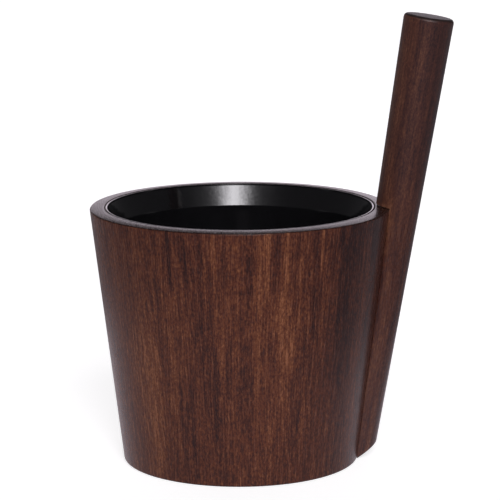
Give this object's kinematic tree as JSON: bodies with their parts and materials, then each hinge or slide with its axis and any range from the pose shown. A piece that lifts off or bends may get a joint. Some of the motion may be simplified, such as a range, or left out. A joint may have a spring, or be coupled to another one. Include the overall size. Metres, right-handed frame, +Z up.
{
  "type": "sauna bucket",
  "caption": "Tapered wooden sauna pail of glued staves with a leaning rod handle scribed to its side and a black plastic insert with a flared collar that lifts out.",
  "frame": {"origin": "on the floor, at the middle of the box round the whole object; the pail's upright axis is 24.9 mm from it towards -X", "axes": "+Z up along the pail's axis, +X towards the side that the handle leans out to, +Y level across the handle, away from the picture's camera"},
  "size_m": [0.2894, 0.2396, 0.3601],
  "materials": {
    "stave_wood": "dark heat-treated wood with satin lacquer",
    "handle_wood": "dark heat-treated wood with satin lacquer",
    "bottom_wood": "dark heat-treated wood, planed",
    "insert_plastic": "moulded gloss black",
    "screw_steel": "bright stainless"
  },
  "bodies": {
    "bucket": {"stave_01": "stave_wood", "stave_02": "stave_wood", "stave_03": "stave_wood", "stave_04": "stave_wood", "stave_05": "stave_wood", "stave_06": "stave_wood", "stave_07": "stave_wood", "stave_08": "stave_wood", "stave_09": "stave_wood", "stave_10": "stave_wood", "stave_11": "stave_wood", "stave_12": "stave_wood", "stave_13": "stave_wood", "stave_14": "stave_wood", "stave_15": "stave_wood", "stave_16": "stave_wood", "bottom_board_1": "bottom_wood", "bottom_board_2": "bottom_wood", "bottom_board_3": "bottom_wood", "handle": "handle_wood", "handle_screw_lower": "screw_steel", "handle_screw_upper": "screw_steel"},
    "insert": {"insert": "insert_plastic"}
  },
  "joints": [
    {"name": "insert_lift", "type": "slide", "parent": "bucket", "child": "insert", "axis": [0, 0, 1], "range_m": [0, 0.195]}
  ]
}
